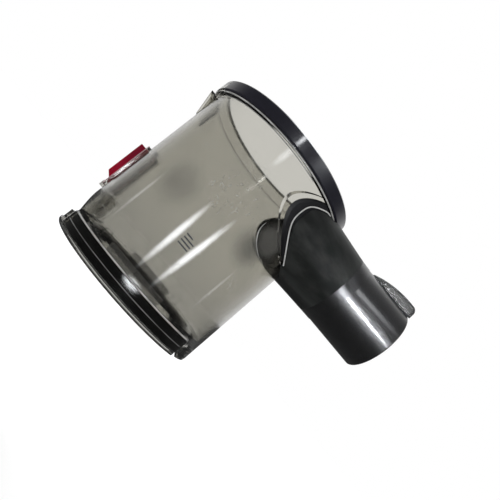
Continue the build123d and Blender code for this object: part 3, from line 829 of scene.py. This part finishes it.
# Each lamp: name, place, direction of its long side, point it faces, length, width, glow, spread in
# degrees. Two slanted strips beside the camera give the long streaks on the wall, two faint ones stand at
# the sides and one gives the streak on the socket. Small lamps give the glints on the ring, the wall below
# it, the bell and the pocket's rim, and a faint one gives the shine on the ring's side.
GLOSS_LAMPS = (
    ("strip_left", (-0.038, -0.269, 0.049), (-0.10, 0.04, 0.98), BIN_MIDDLE, 0.106, 0.050, 26.0, WIDE),
    ("strip_right", (0.090, -0.254, 0.051), (0.21, 0.11, 0.96), BIN_MIDDLE, 0.116, 0.050, 28.0, WIDE),
    ("strip_far_left", (-0.245, -0.084, 0.047), (0.0, 0.06, 1.0), BIN_MIDDLE, 0.080, 0.024, 4.0, WIDE),
    ("strip_far_right", (0.242, -0.100, 0.043), (0.0, 0.06, 1.0), BIN_MIDDLE, 0.070, 0.024, 3.0, WIDE),
    ("strip_socket", (0.120, -0.135, 0.0895), (1.0, 0.1, 0.0), SOCKET_SIDE, 0.110, 0.016, 30.0, 46.0),
    ("ring_lamp", (0.002, -0.260, 0.199), UPRIGHT, (0.0, -0.05, 0.118), 0.024, 0.030, 60.0, WIDE),
    ("wall_lamp", (0.004, -0.260, 0.177), UPRIGHT, (0.0, -0.05, 0.107), 0.036, 0.050, 7.0, WIDE),
    ("ring_side", (0.150, -0.200, 0.230), (0.6, 0.4, 0.3), (0.02, -0.05, 0.118), 0.160, 0.080, 9.0, WIDE),
    ("bell_lamp", (0.007, -0.128, 0.0027), LEVEL, (0.003, -0.0535, 0.008), 0.056, 0.0075, 32.0, WIDE),
    ("pocket_lamp", (-0.0805, -0.116, 0.050), UPRIGHT, POCKET_EDGE, 0.036, 0.0030, 1.3, 30.0),
)
OVERHEAD_LAMP = ("overhead", (0.0, 0.22, 1.1), LEVEL, BIN_MIDDLE, 0.7, 0.7, 11.0, WIDE)


def lamp(name, place, along, aim, length, width, glow, spread, gloss_only):
    """Soft oval lamp: its long side runs along a direction and it faces a point, within a spread in
    degrees. Its power is its glow times pi times its area, and it fades from its middle to its rim. It may
    light gloss alone."""
    data = bpy.data.lights.new(name, "AREA")
    data.shape = "ELLIPSE"
    data.size = length
    data.size_y = width
    data.energy = glow * math.pi * (math.pi / 4 * length * width)
    data.spread = math.radians(spread)
    data.use_nodes = True
    data.node_tree.nodes.clear()
    root = Shade(data.node_tree)
    face = root.node("ShaderNodeNewGeometry", out="Parametric")
    away = root.node("ShaderNodeVectorMath", {0: face, 1: LAMP_MIDDLE}, out="Value", operation="DISTANCE")
    strength = 1.0 - away.step(LAMP_CORE, LAMP_RIM)
    shine = root.node("ShaderNodeEmission", {"Color": LAMP_COLOUR, "Strength": strength})
    root.node("ShaderNodeOutputLight", {"Surface": shine})
    back = (Vector(place) - Vector(aim)).normalized()
    x = Vector(along)
    x = (x - back * x.dot(back)).normalized()
    y = back.cross(x)
    lit = bpy.data.objects.new(name, data)
    lit.matrix_world = Matrix.Translation(place) @ Matrix((x, y, back)).transposed().to_4x4()
    lit.visible_camera = False
    lit.visible_transmission = False
    lit.visible_diffuse = not gloss_only
    bpy.context.scene.collection.objects.link(lit)


def lights():
    """The lamps that light gloss alone, and a broad one overhead that lights everything."""
    for row in GLOSS_LAMPS:
        lamp(*row, gloss_only=True)
    lamp(*OVERHEAD_LAMP, gloss_only=False)


# Camera: where it stands, its axes, its focal length in pixels of the 500-pixel frame, and how far it sees
CAMERA_PLACE = (0.016202, -0.268950, 0.033516)
CAMERA_RIGHT = (0.63982, -0.13485, 0.75660)
CAMERA_DOWN = (0.76708, 0.05171, -0.63946)
CAMERA_AHEAD = (0.04711, 0.98952, 0.13653)
FOCAL_PIXELS = 454.912
FRAME_PIXELS = 500.0
SENSOR_WIDTH = 36.0
CAMERA_NEAR = 0.01
CAMERA_FAR = 20.0


def camera():
    """Camera at the fitted place: its axes are right, up and back."""
    data = bpy.data.cameras.new("camera")
    data.sensor_width = SENSOR_WIDTH
    data.lens = FOCAL_PIXELS / FRAME_PIXELS * SENSOR_WIDTH
    data.clip_start = CAMERA_NEAR
    data.clip_end = CAMERA_FAR
    eye = bpy.data.objects.new("camera", data)
    axes = Matrix((Vector(CAMERA_RIGHT), -Vector(CAMERA_DOWN), -Vector(CAMERA_AHEAD))).transposed()
    eye.matrix_world = Matrix.Translation(CAMERA_PLACE) @ axes.to_4x4()
    bpy.context.scene.collection.objects.link(eye)
    bpy.context.scene.camera = eye


bpy.context.scene.view_settings.view_transform = "Standard"
FINISHES = dress_nodes()
EDGE_HIGHLIGHTS = {name: painted_highlight_edge(name, *colours) for name, colours in EDGE_HIGHLIGHT_COLOURS.items()}
PANEL_GREY = cover_plastic("panel_grey", *PANEL_GREYS)
fill_mark(mark_ink())
edge_bead("edge_bead_left", -1.0, FINISHES["inlet_gasket"])
edge_bead("edge_bead_right", 1.0, FINISHES["inlet_gasket"])
# The moulded lines' pale finishes are painted highlights of the clear edges
for line_name, (*line, edge) in WALL_LINES.items():
    wall_line(line_name, *line, EDGE_HIGHLIGHTS[edge])
inlet_line(EDGE_HIGHLIGHTS["pale_edge"])
# Painted highlight round the pocket's rim, pink with the red button behind it
pocket_line(EDGE_HIGHLIGHTS["pocket_edge"])
spring_coil(FINISHES["button_spring"])
cover_panel("cover_panel_left", -1, PANEL_GREY)
cover_panel("cover_panel_right", 1, PANEL_GREY)
floor()
room()
lights()
camera()
